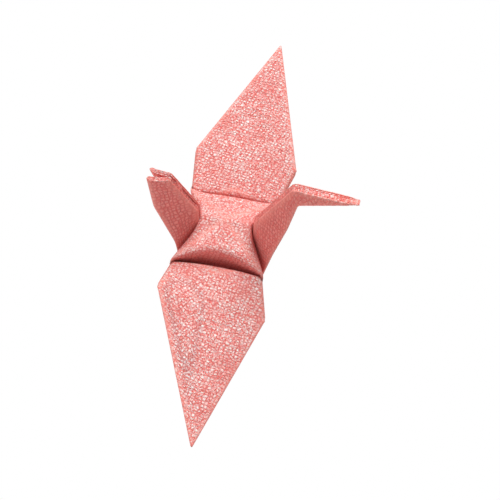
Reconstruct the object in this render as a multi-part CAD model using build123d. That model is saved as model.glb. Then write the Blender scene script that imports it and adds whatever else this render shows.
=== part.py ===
from build123d import *
from math import cos, radians, sin, sqrt, tan
import os

# An origami crane: one square of embossed paper, folded from a bird base.
# Head along +X, tail along -X, wings along +Y and -Y, standing on its four lower corners.

# the sheet
side = 75.0  # edge of the square before folding
paper = 0.2  # caliper of the paper
air = 0.15  # air left between two layers of a wing
leg_layers = 4  # layers pressed together in each side of the neck and the tail
flap_layers = 2  # layers pressed together in each corner flap
narrowing = 11.25  # degrees between a narrowed edge and the centre line
wing_taper = 22.5  # degrees between a wing's long edge and its centre line
crease_level = 0.57  # height of the wing crease on the flat model, as a share of the side

# the opened body: distances out from the centre of the back and down from it
corner_out = 7.8
corner_drop = {-1: 4.9, 1: 3.9}  # near and far side
rim_out = 6.4  # middle of the arched rim
rim_drop = 1.7
notch_out = 4.8  # where the back turns down in front of the neck and the tail
notch_drop = 0.9
groove_out = 5.2  # bottom of the groove between the back and a wing
groove_drop = 11.0
crease_out = 7.7  # wing crease
crease_drop = {-1: 5.7, 1: 4.7}
crease_arch = 1.1  # rise of the middle of the wing crease
foot_x = 6.9  # lower corners, on which the crane stands
foot_out = 6.1
foot_drop = 14.2
crotch_x = 5.2  # where the neck and the tail turn up inside the body
crotch_drop = 11.0
slit = 0.7  # gap between the raw edges that meet on the underside

# each wing: rise above level, swing in plan and sideways tilt, in degrees
wing_pose = {-1: (-12.0, 4.5, -13.0), 1: (18.0, 5.5, -3.0)}
wing_bow = {-1: -0.4, 1: 0.8}  # how far a wing's centre line stands above its shoulders
shoulder_slip = {-1: 2.2, 1: 0.9}  # how much nearer the body the shoulder on the tail's side is

# neck and tail, as points out along X and up from the centre of the back
neck_inner = [(5.5, 1.0), (12.0, 13.5)]  # inner edge, up to the bend
neck_outer = [(9.6, 3.8, -3.0), (11.8, 2.1, 4.2), (13.1, 0.9, 10.3)]  # folded edges: out, to the side, up
neck_tip_rise = -7.0  # degrees above level
tail_inner = [(4.8, 2.0), (9.4, 10.6)]
tail_outer = [(8.5, 4.1, -3.8), (12.4, 1.8, 3.6), (13.3, 0.5, 10.6)]
tail_tip_rise = -92.0
point = 0.5  # thickness of the paper pressed together at the very tips

# landmarks of the flat bird base: half widths and heights above its lower tip
narrow = tan(radians(narrowing))
taper = tan(radians(wing_taper))
crease_height = crease_level * side
shoulder_height = side * taper / (taper + narrow)
corner_x = side / sqrt(2) / (1 + narrow) * narrow
groove_x = side / 2 * narrow
crease_x = crease_height * narrow
shoulder_x = shoulder_height * narrow
leg_length = side / 2
layer = paper + air
fullness = 0.52  # radius of a folded edge, as a share of what it holds
spine = 1.6  # thickness of the neck's and the tail's inner edge, as a share of one side's
easing = 0.9  # thickness of the folded edge past the bend, as a share of that before it
closing = 0.2  # how open the slit under a wing still is at the tip, as a share
flap_reach = 0.25  # how far along the slit the flap under a wing's root reaches, as a share


def panel(corners, thickness=paper):
    """A flat piece of the sheet with the given middle face."""
    face = Face(Wire.make_polygon(corners))
    normal = face.normal_at()
    return Solid.extrude(face.moved(Location(normal * (-thickness / 2))), normal * thickness)


def fold(start, end, diameter=paper, end_diameter=None):
    """The rounded edge along a fold, a little fuller than the flat paper beside it."""
    line = end - start
    plane = Plane(start, z_dir=line)
    if end_diameter is None:
        return Solid.make_cylinder(diameter * fullness, line.length, plane)
    return Solid.make_cone(diameter * fullness, end_diameter * fullness, line.length, plane)


def back_and_groove(out):
    """Half of the back, from the centre over the arched rim and down into the groove."""
    centre = Vector(0, 0, 0)
    rim = Vector(0, out * rim_out, -rim_drop)
    bottom = Vector(0, out * groove_out, -groove_drop)
    crease = Vector(0, out * crease_out, crease_arch - crease_drop[out])
    pieces = []
    for end in (-1, 1):
        corner = Vector(end * corner_x, out * corner_out, -corner_drop[out])
        valley = Vector(end * groove_x, out * groove_out, -groove_drop)
        hinge = Vector(end * crease_x, out * crease_out, -crease_drop[out])
        notch = Vector(end * notch_out, 0, -notch_drop)
        pieces += [panel([centre, corner, rim]), panel([centre, notch, corner])]
        pieces += [panel([rim, corner, valley]), panel([rim, valley, bottom])]
        pieces += [panel([bottom, valley, hinge]), panel([bottom, hinge, crease])]
        pieces += [fold(centre, corner), fold(corner, rim), fold(valley, bottom)]
        pieces += [fold(corner, valley), fold(valley, hinge), fold(rim, bottom)]
        pieces += [fold(bottom, crease), fold(centre, notch), fold(rim, centre)]
    return pieces


def wall(out, end):
    """A side of the body below the wing, with the corner flap pressed onto it, and its end."""
    corner = Vector(end * corner_x, out * corner_out, -corner_drop[out])
    notch = Vector(end * notch_out, 0, -notch_drop)
    crotch = Vector(end * crotch_x, 0, -crotch_drop)
    foot = Vector(end * foot_x, out * foot_out, -foot_drop)
    hinge = Vector(end * crease_x, out * crease_out, -crease_drop[out])
    crease = Vector(end * slit / 2, out * crease_out, crease_arch - crease_drop[out])
    middle = Vector(end * slit / 2, out * foot_out, -crotch_drop - paper)
    press = Vector(0, out * (flap_layers + 1) * paper / 2, 0)
    flap_top = Vector(end * slit, out * crease_out, -crease_drop[out] - leg_layers * paper)
    pieces = [panel([hinge, foot, middle]), panel([hinge, middle, crease])]
    flap = [p + press for p in (hinge, foot, middle, flap_top)]
    pieces += [panel(flap[:3], flap_layers * paper), panel([flap[0], *flap[2:]], flap_layers * paper)]
    pieces += [panel([notch, corner, foot]), panel([notch, foot, crotch])]
    pieces += [fold(foot + press / 2, corner, layer * 2), fold(notch, crotch), fold(notch, corner)]
    pieces += [fold(foot, crotch, layer * 2), fold(hinge, crease), fold(foot, middle)]
    pieces += [fold(notch, foot), fold(hinge, middle), fold(corner, hinge + press / 2, layer * 2)]
    return pieces


def wing(out):
    """A wing: the smooth upper layer, and two lower layers that meet at a slit."""
    rise, swing, tilt = [radians(angle) for angle in wing_pose[out]]
    length_way = Vector(sin(swing), out * cos(swing) * cos(rise), sin(rise))
    width_way = Vector(cos(swing) * cos(tilt), -out * sin(swing) * cos(tilt), sin(tilt))
    below = length_way.cross(width_way).normalized() * out * layer
    root = Vector(0, out * crease_out, crease_arch - crease_drop[out])
    tip = root + length_way * (side - crease_height)
    shoulders = root + length_way * (shoulder_height - crease_height) + below.normalized() * wing_bow[out]
    pieces = []
    for end in (-1, 1):
        hinge = Vector(end * crease_x, out * crease_out, -crease_drop[out])
        slip = shoulder_slip[out] if end < 0 else 0
        shoulder = shoulders + width_way * (end * shoulder_x) - length_way * slip
        gap = width_way * (end * slit / 2)
        pieces += [panel([root, hinge, shoulder]), panel([root, shoulder, tip])]
        lower_root, lower_hinge = root + below + gap, hinge + below
        lower_shoulder, lower_tip = shoulder + below, tip + below + gap * closing
        pieces += [panel([lower_root, lower_hinge, lower_shoulder])]
        pieces += [panel([lower_root, lower_shoulder, lower_tip])]
        pieces += [fold(root, shoulder), fold(lower_root, lower_shoulder), fold(root, tip)]
        edge = below / 2
        pieces += [fold(shoulder + edge, tip + edge, layer + paper)]
        pieces += [fold(hinge + edge, shoulder + edge, layer + paper)]
        pieces += [fold(root + edge, hinge + edge, layer + paper)]
        flap = [lower_hinge, lower_shoulder, lower_root + (lower_shoulder - lower_root) * flap_reach]
        flap = [p + below.normalized() * (flap_layers + 1) * paper / 2 for p in flap]
        pieces += [panel(flap, flap_layers * paper)]
    return pieces


def leg(end, inner, outer, tip_rise):
    """The neck or the tail: two sides of pressed layers, joined along the inner edge."""
    thickness = leg_layers * paper
    crotch = Vector(end * crotch_x, 0, -crotch_drop)
    sway, bend = [Vector(end * x, 0, z) for x, z in inner]
    tip_way = Vector(end * cos(radians(tip_rise)), 0, sin(radians(tip_rise)))
    tip = bend + tip_way * (leg_length - (sway - crotch).length - (bend - sway).length)
    pieces = [fold(crotch, sway, thickness * spine), fold(sway, bend, thickness * spine)]
    pieces += [fold(bend, tip, thickness * spine, point)]
    for out in (-1, 1):
        half = Vector(0, out * thickness / 2, 0)
        foot = Vector(end * foot_x, out * (foot_out - thickness / 2), thickness / 2 - foot_drop)
        low, high, edge = [Vector(end * x, out * y, z) + half for x, y, z in outer]
        for corners in (
            (crotch + half, foot, low), (crotch + half, low, sway + half), (sway + half, low, high),
            (sway + half, high, bend + half), (bend + half, high, edge), (bend + half, edge, tip),
        ):
            pieces += [panel(corners, thickness)]
        for start, finish in ((foot, low), (low, high), (high, edge), (bend, edge), (sway, high)):
            pieces += [fold(start, finish, thickness)]
        pieces += [fold(edge, tip, thickness * easing, point), fold(crotch, low, thickness)]
    return pieces


pieces = leg(1, neck_inner, neck_outer, neck_tip_rise) + leg(-1, tail_inner, tail_outer, tail_tip_rise)
for out in (-1, 1):
    pieces += wing(out) + back_and_groove(out) + wall(out, -1) + wall(out, 1)
crane = pieces[0].fuse(*pieces[1:])

# the origin is the middle of the crane's outline, on the surface that it stands on
box = crane.bounding_box()
crane = Pos(-box.center().X, -box.center().Y, -box.min.Z) * crane

os.makedirs("parts", exist_ok=True)
export_step(crane, "parts/folded_sheet.step")
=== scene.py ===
from math import cos, exp, radians, sin, sqrt, tan
import bmesh
import bpy
import numpy as np
from mathutils import Matrix, Vector


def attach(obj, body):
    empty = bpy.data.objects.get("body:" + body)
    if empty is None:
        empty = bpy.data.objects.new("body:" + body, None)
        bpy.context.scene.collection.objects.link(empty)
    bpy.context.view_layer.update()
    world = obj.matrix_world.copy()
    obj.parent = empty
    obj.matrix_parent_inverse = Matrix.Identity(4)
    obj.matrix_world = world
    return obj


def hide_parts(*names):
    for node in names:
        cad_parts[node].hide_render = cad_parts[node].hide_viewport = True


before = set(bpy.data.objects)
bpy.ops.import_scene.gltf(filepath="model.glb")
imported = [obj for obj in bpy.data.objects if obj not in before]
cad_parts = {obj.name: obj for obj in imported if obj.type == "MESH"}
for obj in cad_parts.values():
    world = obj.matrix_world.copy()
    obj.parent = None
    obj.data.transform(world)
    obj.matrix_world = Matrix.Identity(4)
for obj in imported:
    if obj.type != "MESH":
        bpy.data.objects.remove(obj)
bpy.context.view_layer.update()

# --- the sheet -----------------------------------------------------------
# One 75 mm square of paper. All lengths below are in millimetres, as in the
# CAD model, and the finished mesh is scaled to metres.
side = 75.0
paper = 0.17
reach = side / sqrt(2)
narrow = tan(radians(11.25))
taper = tan(radians(22.5))
inner = side * (sqrt(2) - 1) / 2
middle = side / 2
crease_z = 0.57 * side
corner_z = reach / (1 + narrow)
shoulder_z = side * taper / (taper + narrow)
leg_layer = 0.2
wing_layer = 0.35

bm = bmesh.new()
bmesh.ops.create_grid(bm, x_segments=150, y_segments=150, size=middle)
bmesh.ops.rotate(bm, verts=bm.verts, matrix=Matrix.Rotation(radians(45), 3, "Z"))


def crease(point, angle, gaps=(0,)):
    """Cuts the flat sheet along lines through point, or beside it, at angle degrees."""
    normal = Vector((-sin(radians(angle)), cos(radians(angle)), 0))
    for gap in gaps:
        geometry = bm.verts[:] + bm.edges[:] + bm.faces[:]
        line = Vector((*point, 0)) + normal * gap
        bmesh.ops.bisect_plane(bm, geom=geometry, plane_co=line, plane_no=normal, dist=1e-4)


rounded = (-0.36, -0.18, 0, 0.18, 0.36)
for turn in (1, -1):
    crease((0, 0), 45 * turn)
    crease((0, inner * turn), 0)
    crease((0, crease_z - middle + inner) if turn > 0 else (0, middle - inner - crease_z), 0)
    for corner in (1, -1):
        crease((0, corner * reach), 90 + 22.5 * turn, rounded)
        crease((corner * reach, 0), 22.5 * turn, rounded)
        crease((corner * reach, 0), 11.25 * turn, rounded)
        crease((corner * reach, 0), 33.75 * turn, rounded)
crease((0, 0), 0)
bmesh.ops.remove_doubles(bm, verts=bm.verts, dist=0.03)

# --- where the folds bring the paper --------------------------------------
# The flat sheet folds onto a bird base, a stack of layers with a half width
# and a height. Paths through named corners then open the stack into the
# crane. The corners are in millimetres from the centre of the back.
flat = np.array([v.co.to_tuple() for v in bm.verts])
p, q = np.abs(flat[:, 0]), np.abs(flat[:, 1])
end = np.where(flat[:, 0] < 0, -1.0, 1.0)
out = np.where(flat[:, 1] < 0, -1.0, 1.0)


def smooth(value, low, high):
    share = np.clip((value - low) / (high - low), 0, 1)
    return share * share * (3 - 2 * share)


def path(at, knots, corners, soft=0.8):
    """The point at a height on a path through corners, with the turns rounded."""
    knots = np.array(knots, float)
    order = np.argsort(knots)
    corners = np.array(corners, float)[order]
    steps = np.linspace(-soft, soft, 7)
    place = []
    for i in range(3):
        samples = [np.interp(at + step, knots[order], corners[:, i]) for step in steps]
        place.append(np.mean(samples, axis=0))
    return np.stack(place, axis=1)


def wing_frame(pose, side_out):
    rise, swing, tilt = [radians(a) for a in pose]
    length_way = np.array([sin(swing), side_out * cos(swing) * cos(rise), sin(rise)])
    width_way = np.array([cos(swing) * cos(tilt), -side_out * sin(swing) * cos(tilt), sin(tilt)])
    below = np.cross(length_way, width_way) * side_out
    return length_way, width_way, below / np.linalg.norm(below)


wings = {-1: (-12.0, 4.5, -13.0), 1: (18.0, 5.5, -3.0)}
corner_drop = {-1: 4.9, 1: 3.9}
crease_drop = {-1: 5.7, 1: 4.7}
wing_bow = {-1: -0.4, 1: 0.8}
shoulder_slip = {-1: 2.2, 1: 0.9}
inner_edge = {1: [(5.5, 1.0), (12.0, 13.5)], -1: [(4.8, 2.0), (9.4, 10.6)]}
outer_edge = {
    1: [(9.6, 3.8, -3.0), (11.8, 2.1, 4.2), (13.1, 0.9, 10.3)],
    -1: [(8.5, 4.1, -3.8), (12.4, 1.8, 3.6), (13.3, 0.5, 10.6)],
}
tip_rise = {1: -7.0, -1: -92.0}


def body_points(e, o):
    """The named corners of one quarter of the crane, from the centre of the back."""
    length_way, width_way, below = wing_frame(wings[o], o)
    c = {
        "centre": (0, 0, 0), "rim": (0, o * 6.4, -1.7),
        "corner": (e * corner_z * narrow, o * 7.8, -corner_drop[o]),
        "notch": (e * 4.8, 0, -0.9), "groove": (0, o * 5.2, -11.0),
        "valley": (e * middle * narrow, o * 5.2, -11.0),
        "root": (0, o * 7.7, 1.1 - crease_drop[o]),
        "hinge": (e * crease_z * narrow, o * 7.7, -crease_drop[o]),
        "foot": (e * 6.9, o * 6.1, -14.2), "crotch": (e * 5.2, 0, -11.0), "open": (e * 2.4, o * 5.6, -11.0),
        "sway": (e * inner_edge[e][0][0], 0, inner_edge[e][0][1]),
        "bend": (e * inner_edge[e][1][0], 0, inner_edge[e][1][1]),
    }
    for name, (x_out, y_out, up) in zip(("low", "high", "edge"), outer_edge[e]):
        c[name] = (e * x_out, o * y_out, up)
    c = {name: np.array(place, float) for name, place in c.items()}
    c["wingtip"] = c["root"] + length_way * (side - crease_z)
    c["spine_shoulder"] = c["root"] + length_way * (shoulder_z - crease_z)
    c["shoulder"] = c["spine_shoulder"] + below * wing_bow[o] + width_way * e * shoulder_z * narrow
    c["shoulder"] -= length_way * (shoulder_slip[o] if e < 0 else 0)
    to_sway = np.linalg.norm(c["sway"] - c["crotch"])
    to_bend = to_sway + np.linalg.norm(c["bend"] - c["sway"])
    tip_way = np.array([e * cos(radians(tip_rise[e])), 0, sin(radians(tip_rise[e]))])
    c["tip"] = c["bend"] + tip_way * (middle - to_bend)
    c["below"] = below
    edge_names = ("foot", "low", "high", "edge", "tip")
    edge_steps = [np.linalg.norm(c[b] - c[a]) for a, b in zip(edge_names, edge_names[1:])]
    heights = [middle, middle - to_sway, middle - to_bend]
    edge_heights = [middle * (1 - sum(edge_steps[:i]) / sum(edge_steps)) for i in range(4)]
    return c, heights, edge_heights


def half_width(z, kind):
    limit = {"H": reach - z, "G": reach - z, "W": (side - z) * taper, "F": (side - z) * taper}[kind]
    return np.maximum(np.minimum(z * narrow, limit), 1e-3)


def surface(kind, x, z, e, o):
    """Places one kind of layer, of one quarter, from its half width and height."""
    c, heights, edge_heights = body_points(e, o)
    w = x / half_width(z, kind)
    leg_inner = [c[name] for name in ("crotch", "sway", "bend", "tip")]
    leg_outer = [c[name] for name in ("foot", "low", "high", "edge", "tip")]
    if kind == "H":
        rim_z = reach - 7.2
        mid = path(z, [middle, rim_z, reach], [c["groove"], c["rim"], c["centre"]], 1.2)
        rim = path(z, [middle, corner_z, reach], [c["valley"], c["corner"], c["centre"]], 0.5)
        bow = w * w
    elif kind == "W":
        knots = [middle, crease_z, shoulder_z, side]
        mid = path(z, knots, [c["groove"], c["root"], c["spine_shoulder"], c["wingtip"]], 0.5)
        rim = path(z, knots, [c["valley"], c["hinge"], c["shoulder"], c["wingtip"]], 0.5)
        bow = w * w
    elif kind == "G":
        mid = path(z, [reach, reach - 5.2] + heights + [0], [c["centre"], c["notch"]] + leg_inner, 0.6)
        rim = path(z, [reach, corner_z] + edge_heights + [0], [c["centre"], c["corner"]] + leg_outer, 0.5)
        bow = w
    else:
        knots = [side, shoulder_z, crease_z, middle]
        closed = 5
        meeting = c["crotch"] + (c["sway"] - c["crotch"]) * closed / (middle - heights[1])
        slit_side = [c["wingtip"], c["spine_shoulder"], c["root"], c["open"], meeting]
        fold_side = [c["wingtip"], c["shoulder"], c["hinge"]]
        mid = path(z, knots + [middle - closed] + heights[1:] + [0], slit_side + leg_inner[1:], 0.5)
        rim = path(z, knots[:3] + edge_heights + [0], fold_side + leg_outer, 0.5)
        bow = w
    place = mid + (rim - mid) * np.stack([w, bow, bow], axis=1)
    return place, c


def stack(kind, flap, x, z, e, o):
    """A layer's place, with its step out from the layers that it lies on."""
    if flap:
        along = (x * narrow + z) / (1 + narrow * narrow)
        x, z = 2 * along * narrow - x, 2 * along - z
    shape = "F" if flap else kind
    place, c = surface(shape, x, z, e, o)
    on_wing = smooth(z, crease_z - 0.6, crease_z + 0.6)[:, None]
    on_leg = 1 - smooth(z, middle - 3, middle + 1)
    sideways = np.array([0, o, 0])
    if shape in "HW":
        return place
    if shape == "G":
        return place + sideways * (on_leg * leg_layer / 2)[:, None]
    rank = {"F": 1, "W": 2, "H": 3, "G": 4}[kind] if flap else 0
    leg_rank = {"F": 1, "W": 2, "H": 2, "G": 2}[kind] if flap else 0
    step = (leg_layer + 0.02) * (rank * (1 - on_leg) + (leg_rank + 1.5) * on_leg)[:, None]
    return place + sideways * step * (1 - on_wing) + c["below"] * (step + wing_layer) * on_wing


def folded(kind, x, z, e, o):
    """Joins a layer to its flap over the narrowing fold."""
    past = (x - z * narrow) / sqrt(1 + narrow * narrow)
    share = smooth(past, -0.45, 0.45)[:, None]
    return stack(kind, False, x, z, e, o) * (1 - share) + stack(kind, True, x, z, e, o) * share


bird_base = {
    "H": (p, reach - q), "W": (p, middle + q - inner),
    "G": (q, reach - p), "F": ((reach - p - q) / sqrt(2), middle + (q - p) / sqrt(2)),
}
long_edge = (q + (p - inner) * (reach - inner) / inner - inner) * sin(radians(22.5))
neck_edge = (p + (q - inner) * (reach - inner) / inner - inner) * sin(radians(22.5))
weight = {
    "H": smooth(q - p, -0.3, 0.3) * smooth(inner - q, -0.3, 0.3),
    "W": smooth(q - inner, -0.3, 0.3) * smooth(-long_edge, -0.35, 0.35),
    "G": smooth(p - q, -0.3, 0.3) * smooth(-neck_edge, -0.35, 0.35),
    "F": smooth(np.where(q > p, long_edge, neck_edge), -0.35, 0.35),
}
total = sum(weight.values())
place = np.zeros((len(flat), 3))
nearest = np.minimum(np.minimum(abs(long_edge), abs(neck_edge)), 3)
nearest = np.where(np.maximum(p, q) < inner, np.minimum(nearest, abs(q - p) * 0.7), nearest)
for e in (-1, 1):
    for o in (-1, 1):
        here = (end == e) & (out == o)
        for kind, (x, z) in bird_base.items():
            part = folded(kind, x[here], z[here], e, o)
            mine = here & (weight[kind] > 0.5 * total)
            nearest[mine] = np.minimum(nearest[mine], abs(x[mine] - z[mine] * narrow))
            place[here] += part * (weight[kind][here] / total[here])[:, None]

# --- the folded sheet ------------------------------------------------------
# The flat sheet keeps its own millimetres as UV, so that the embossing runs
# on over every fold, and takes its folded place and its thickness.
layer = bm.loops.layers.uv.new("sheet_mm")
for face in bm.faces:
    for loop in face.loops:
        loop[layer].uv = loop.vert.co.xy
centre = Vector((-4.83, 0.41, 14.52))
worn_band = bm.verts.layers.float.new("crease_band")
for vert, spot, gap in zip(bm.verts, place, nearest):
    vert.co = (Vector(spot) + centre) / 1000
    vert[worn_band] = exp(-(gap / 0.6) ** 2)
mesh = bpy.data.meshes.new("folded_paper")
bm.to_mesh(mesh)
bm.free()
sheet = bpy.data.objects.new("folded_paper", mesh)
bpy.context.collection.objects.link(sheet)
mesh.shade_smooth()
thick = sheet.modifiers.new("paper", "SOLIDIFY")
thick.thickness = paper / 1000
thick.offset = 0
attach(sheet, "root")
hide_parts("folded_sheet")

# --- pearl paper ---------------------------------------------------------------
# A coral paper pressed with small pebbles in diagonal rows, under a pearl coat that wears off at the folds.
# Its glitter on the tops of the pebbles is painted into the colour as pale highlights on the faces that
# look up.
def linear(code):
    """Turns a sRGB hex colour into the linear values that the nodes use."""
    parts = [int(code[i:i + 2], 16) / 255 for i in (0, 2, 4)]
    return [(c / 12.92 if c <= 0.04045 else ((c + 0.055) / 1.055) ** 2.4) for c in parts] + [1]


pearl = bpy.data.materials.new("pearl_embossed_paper")
pearl.use_nodes = True
tree = pearl.node_tree
coat = tree.nodes["Principled BSDF"]


def node(kind, links=(), **settings):
    """Adds a node with its settings, and links its sockets."""
    added = tree.nodes.new(kind)
    for name, value in settings.items():
        setattr(added, name, value)
    for socket, source in dict(links).items():
        target = added.inputs[socket]
        if isinstance(source, bpy.types.NodeSocket):
            tree.links.new(source, target)
        else:
            target.default_value = source
    return added


def math(operation, first, second=0.0, third=0.0):
    return node("ShaderNodeMath", {0: first, 1: second, 2: third}, operation=operation).outputs[0]


def mix(share, first, second):
    mixed = node("ShaderNodeMix", {"Factor": share, "A": (0, 0, 0, 1), "B": (0, 0, 0, 1)}, data_type="RGBA")
    for socket, source in ((6, first), (7, second)):
        if isinstance(source, bpy.types.NodeSocket):
            tree.links.new(source, mixed.inputs[socket])
        else:
            mixed.inputs[socket].default_value = source
    return mixed.outputs[2]


def ramp(value, low, high):
    """A smooth step of a value between two levels."""
    return node("ShaderNodeMapRange", {"Value": value, "From Min": low, "From Max": high},
                interpolation_type="SMOOTHSTEP").outputs[0]


# Pebbles of about 0.5 by 0.7 mm stand in rows turned 12 degrees from the
# sheet's diagonals, so the eye reads a pressed grain and not noise.
sheet_mm = node("ShaderNodeUVMap", uv_map="sheet_mm").outputs[0]
wobble = node("ShaderNodeTexNoise", {"Vector": sheet_mm, "Scale": 0.5, "Detail": 2.0}).outputs["Color"]
shift = node("ShaderNodeVectorMath", {0: wobble, 1: (0.5, 0.5, 0.5)}, operation="SUBTRACT").outputs[0]
bend_by = {0: shift, 1: (0.8, 0.8, 0), 2: sheet_mm}
bent = node("ShaderNodeVectorMath", bend_by, operation="MULTIPLY_ADD").outputs[0]
row_turn = (0, 0, radians(12))
pebbles_per_mm = (1.45, 1.9, 1)
rows = node("ShaderNodeMapping", {"Vector": bent, "Rotation": row_turn, "Scale": pebbles_per_mm}).outputs[0]
cells = {"Vector": rows, "Scale": 1.0, "Randomness": 0.45}
cell = node("ShaderNodeTexVoronoi", cells, feature="DISTANCE_TO_EDGE")
pebble = ramp(cell.outputs["Distance"], 0.02, 0.3)
fibre = {"Vector": sheet_mm, "Scale": 4.0, "Detail": 3.0, "Roughness": 0.6}
grain = node("ShaderNodeTexNoise", fibre).outputs["Fac"]
patches = node("ShaderNodeTexNoise", {"Vector": sheet_mm, "Scale": 0.13, "Detail": 2.0}).outputs["Fac"]

# Folding flattens the pebbles in a band along each crease and bares the
# coral paper, so every fold reads a little plainer and redder.
plain = node("ShaderNodeAttribute", attribute_name="crease_band").outputs["Fac"]
relief = math("MULTIPLY", pebble, math("SUBTRACT", 1.0, math("MULTIPLY", plain, 0.8)))

# Thin faint scratches run slantwise over the sheet, as on handled paper.
streak_turn = (0, 0, radians(-38))
streaks = node("ShaderNodeMapping", {"Vector": sheet_mm, "Rotation": streak_turn, "Scale": (0.05, 1.3, 1)})
long_noise = {"Vector": streaks.outputs[0], "Scale": 1.0, "Detail": 1.0}
scratch = node("ShaderNodeTexNoise", long_noise).outputs["Fac"]
scratched = ramp(math("ABSOLUTE", math("SUBTRACT", scratch, 0.56)), 0.012, 0.0)

# Glitter: each fleck of the coat has its own brightness, strongest on the pebbles' tops. Pale specks are
# painted into the colour only where the sheet faces up towards the high lamp, so painted glints stand on a
# coral ground.
fleck = node("ShaderNodeTexVoronoi", {"Vector": sheet_mm, "Scale": 4.0, "Randomness": 1.0}, feature="F1")
spark = node("ShaderNodeSeparateColor", {"Color": fleck.outputs["Color"]}).outputs[0]
uneven = math("MULTIPLY_ADD", grain, 0.8, math("MULTIPLY", spark, 0.45))
glitter = math("MULTIPLY", ramp(uneven, 0.5, 0.78), math("MULTIPLY_ADD", relief, 0.65, 0.35))
up = node("ShaderNodeSeparateXYZ", {"Vector": node("ShaderNodeNewGeometry").outputs["Normal"]}).outputs[2]
toward_lamp_above = ramp(up, 0.35, 0.9)
painted_glints = math("MULTIPLY", math("MULTIPLY", glitter, toward_lamp_above), ramp(patches, 0.1, 0.55))

# Painted shade and light on the relief: the coral is painted darker in the grooves between the pebbles and
# lighter on their tops, on top of the bump.
groove_shaded_coral = mix(pebble, linear("D8605B"), linear("EE887F"))
worn = mix(math("MULTIPLY", plain, 0.6), groove_shaded_coral, linear("EE8C80"))
# Painted highlight: the glints turn the colour near white where the sheet faces up.
with_painted_glints = mix(math("MULTIPLY", painted_glints, 0.85), worn, linear("FDF0EC"))
final = mix(math("MULTIPLY", scratched, 0.35), with_painted_glints, linear("C9605E"))
tree.links.new(final, coat.inputs["Base Color"])
tree.links.new(math("SUBTRACT", 0.62, math("MULTIPLY", glitter, 0.27)), coat.inputs["Roughness"])
coat.inputs["Sheen Weight"].default_value = 0.08
coat.inputs["Sheen Roughness"].default_value = 0.4
coat.inputs["Sheen Tint"].default_value = linear("FCEBEA")
coat.inputs["Specular IOR Level"].default_value = 0.45
coat.inputs["Subsurface Weight"].default_value = 0.25
coat.inputs["Subsurface Radius"].default_value = (1.0, 0.25, 0.2)
coat.inputs["Subsurface Scale"].default_value = 0.0012
height = math("MULTIPLY_ADD", relief, 1.0, math("MULTIPLY", grain, 0.35))
lowered = math("SUBTRACT", height, math("MULTIPLY", scratched, 0.5))
bump = node("ShaderNodeBump", {"Height": lowered, "Strength": 0.75, "Distance": 0.00012})
tree.links.new(bump.outputs[0], coat.inputs["Normal"])
mesh.materials.append(pearl)

# --- floor, light and camera -----------------------------------------------------
# A white studio: a plain pale floor that is clear from below, a soft lamp high
# behind the crane, a weaker one in front, and an even white surround.
floor_mesh = bpy.data.meshes.new("floor")
bm = bmesh.new()
bmesh.ops.create_grid(bm, x_segments=1, y_segments=1, size=2.0)
bm.to_mesh(floor_mesh)
bm.free()
floor = bpy.data.objects.new("floor", floor_mesh)
bpy.context.collection.objects.link(floor)

white = bpy.data.materials.new("white_paper_floor")
white.use_nodes = True
tree = white.node_tree
tree.nodes.remove(tree.nodes["Principled BSDF"])
rays = node("ShaderNodeLightPath")
seen = math("MAXIMUM", rays.outputs["Is Camera Ray"], rays.outputs["Is Glossy Ray"])
seen = math("MAXIMUM", seen, rays.outputs["Is Transmission Ray"])
matt = node("ShaderNodeBsdfDiffuse", {"Color": linear("F2EFEE")})
glow = node("ShaderNodeEmission", {"Color": (1, 1, 1, 1), "Strength": 1.0})
both = node("ShaderNodeMixShader", {0: seen, 1: matt.outputs[0], 2: glow.outputs[0]})
below_floor = node("ShaderNodeNewGeometry").outputs["Backfacing"]
clear = node("ShaderNodeBsdfTransparent")
one_sided = node("ShaderNodeMixShader", {0: below_floor, 1: both.outputs[0], 2: clear.outputs[0]})
tree.links.new(one_sided.outputs[0], tree.nodes["Material Output"].inputs["Surface"])
floor_mesh.materials.append(white)

world = bpy.data.worlds.new("studio")
bpy.context.scene.world = world
world.use_nodes = True
tree = world.node_tree
rays = node("ShaderNodeLightPath")
ambient = tree.nodes["Background"]
ambient.inputs["Color"].default_value = (1, 1, 1, 1)
ambient.inputs["Strength"].default_value = 0.5
backdrop = node("ShaderNodeBackground", {"Color": (1, 1, 1, 1), "Strength": 1.0})
by_ray = {0: rays.outputs["Is Camera Ray"], 1: ambient.outputs[0], 2: backdrop.outputs[0]}
both = node("ShaderNodeMixShader", by_ray)
tree.links.new(both.outputs[0], tree.nodes["World Output"].inputs["Surface"])

for name, place, size, energy in (
    ("high back lamp", (0.05, 0.28, 0.42), 0.30, 2.6),
    ("side fill", (-0.30, -0.15, 0.35), 0.35, 0.7),
):
    lamp_data = bpy.data.lights.new(name, "AREA")
    lamp_data.energy = energy
    lamp_data.size = size
    lamp = bpy.data.objects.new(name, lamp_data)
    bpy.context.collection.objects.link(lamp)
    lamp.location = place
    lamp.rotation_euler = (-lamp.location).to_track_quat("-Z", "Y").to_euler()

elevation, turn, distance = radians(60.1), radians(11.6), 136.6
back = Vector((sin(turn) * cos(elevation), -cos(turn) * cos(elevation), sin(elevation)))
right = Vector((cos(turn), sin(turn), 0))
over = Vector((-sin(elevation) * sin(turn), sin(elevation) * cos(turn), cos(elevation)))
eye = centre + back * distance + right * 4.54 - over * 5.8
camera = bpy.data.cameras.new("camera")
camera.lens = 53.97
camera.sensor_width = 36
camera.clip_start = 0.005
view = bpy.data.objects.new("camera", camera)
bpy.context.collection.objects.link(view)
view.location = eye / 1000
view.rotation_euler = back.to_track_quat("Z", "Y").to_euler()
bpy.context.scene.camera = view
scene = bpy.context.scene
scene.view_settings.view_transform = "Standard"
